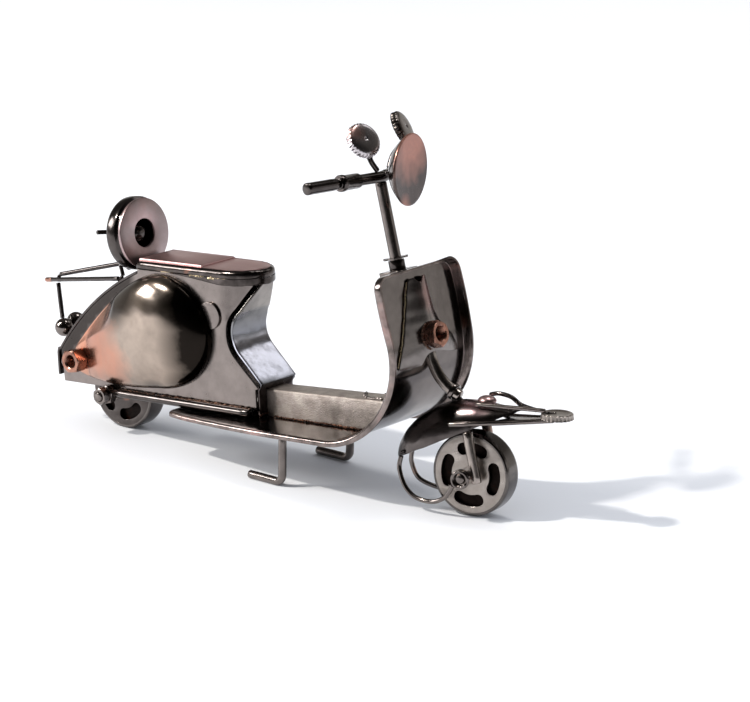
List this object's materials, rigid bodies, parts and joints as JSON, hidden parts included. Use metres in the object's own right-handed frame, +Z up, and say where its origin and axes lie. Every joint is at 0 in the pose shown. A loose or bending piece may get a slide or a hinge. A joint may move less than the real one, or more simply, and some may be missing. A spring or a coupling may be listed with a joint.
{
  "type": "scooter ornament",
  "caption": "Welded iron-art ornament of a motor scooter in dark plated steel, with turning wheels, steering fork, leg shield, domed side cowls and a spare wheel behind the seat.",
  "frame": {"origin": "centre of the whole ornament's box, on the ground", "axes": "+X the way the scooter faces, +Y the rider's left, +Z up from the ground"},
  "size_m": [0.2082, 0.0622, 0.1166],
  "materials": {
    "plated_steel": "dark gunmetal plating, glossy",
    "copper_tint": "copper-tinted plating, satin",
    "satin_steel": "satin",
    "sand_steel": "sand-blasted, matte"
  },
  "bodies": {
    "frame": {"side_plate_right": "satin_steel", "side_plate_left": "satin_steel", "cowl_dome_right": "plated_steel", "cowl_dome_left": "plated_steel", "cowl_tabs": "plated_steel", "front_strip": "satin_steel", "rear_strip": "plated_steel", "seat": "copper_tint", "spare_wheel_cup": "plated_steel", "spare_wheel_washer": "copper_tint", "spare_wheel_stud": "plated_steel", "rack_rod_right": "plated_steel", "rack_rod_left": "plated_steel", "rack_leg": "plated_steel", "rack_strut": "plated_steel", "tail_ball_right": "plated_steel", "tail_ball_left": "plated_steel", "signal_nuts": "copper_tint", "frame_rod_right": "plated_steel", "frame_rod_left": "plated_steel", "axle_boss_right": "plated_steel", "axle_boss_left": "plated_steel", "rear_axle": "plated_steel", "rear_axle_nuts": "copper_tint", "rear_axle_coils": "plated_steel", "floor_and_shield": "plated_steel", "tunnel_box": "sand_steel", "steering_bracket": "plated_steel", "steering_bushing": "plated_steel", "horn_cover": "satin_steel", "horn_nut": "copper_tint", "stand_right": "plated_steel", "stand_left": "plated_steel"},
    "rear_wheel_body": {"rear_wheel": "satin_steel"},
    "steering_body": {"steering_rod": "plated_steel", "push_on_washer": "satin_steel", "stem_collar": "plated_steel", "fender": "plated_steel", "crest_plate": "plated_steel", "crest_rod_right": "plated_steel", "crest_rod_left": "plated_steel", "fender_button": "satin_steel", "crest_disc": "satin_steel", "fork_leg_right": "plated_steel", "fork_leg_left": "plated_steel", "front_axle": "plated_steel", "front_axle_coils": "plated_steel", "wire_loop_right": "plated_steel", "wire_loop_left": "plated_steel", "handlebar": "plated_steel", "grip_right": "plated_steel", "grip_left": "plated_steel", "grip_sleeve_right": "plated_steel", "grip_sleeve_left": "plated_steel", "mirror_right": "plated_steel", "mirror_left": "plated_steel", "mirror_stalks": "plated_steel", "headlamp_disc": "copper_tint", "headlamp_shell": "plated_steel"},
    "front_wheel_body": {"front_wheel": "satin_steel"}
  },
  "joints": [
    {"name": "rear_wheel_spin", "type": "hinge", "parent": "frame", "child": "rear_wheel_body", "pos_m": [-0.0655, 0.00093, 0.01275], "axis": [0, 1, 0], "continuous": true},
    {"name": "steering_turn", "type": "hinge", "parent": "frame", "child": "steering_body", "pos_m": [0.04413, 0.00093, 0.072], "axis": [-0.2672, 0, 0.9636], "range_deg": [-32, 12]},
    {"name": "front_wheel_spin", "type": "hinge", "parent": "steering_body", "child": "front_wheel_body", "pos_m": [0.07351, 0.00314, 0.01285], "axis": [-0.1673, 0.9848, -0.0464], "continuous": true}
  ]
}
